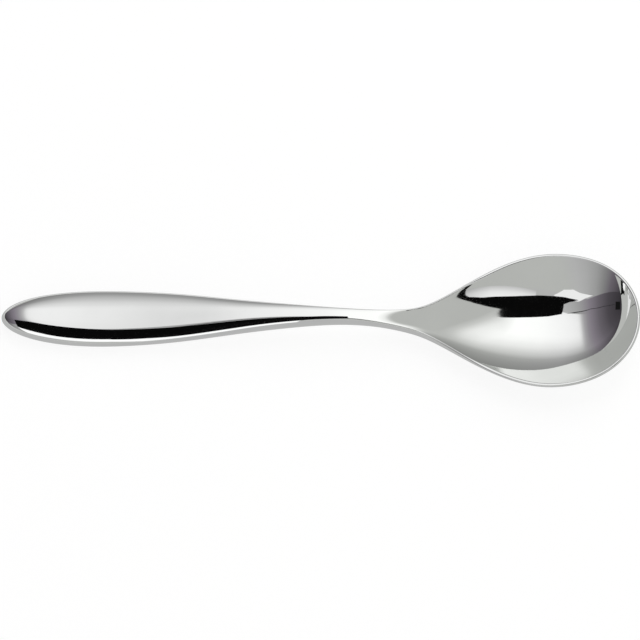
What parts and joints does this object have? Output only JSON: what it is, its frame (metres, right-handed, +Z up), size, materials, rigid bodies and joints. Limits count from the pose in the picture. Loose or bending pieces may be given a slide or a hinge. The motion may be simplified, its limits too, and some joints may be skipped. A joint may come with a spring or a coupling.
{
  "type": "serving spoon",
  "caption": "Polished steel serving spoon with a wide egg-shaped bowl, a slim neck and a thick, rounded hollow handle.",
  "frame": {"origin": "on the table under the middle of the spoon's length, with the spoon lying at rest on its bowl and its handle", "axes": "+X from the handle's end to the bowl's tip, +Y across the spoon, +Z up out of the bowl's hollow"},
  "size_m": [0.2598, 0.0598, 0.0176],
  "materials": {
    "polished_steel": "polished",
    "silver_braze": "polished",
    "cement": "matte"
  },
  "bodies": {
    "root": {"bowl": "polished_steel", "handle_upper_shell": "polished_steel", "handle_lower_shell": "polished_steel", "neck_braze": "silver_braze", "tang_cement": "cement"}
  },
  "joints": []
}
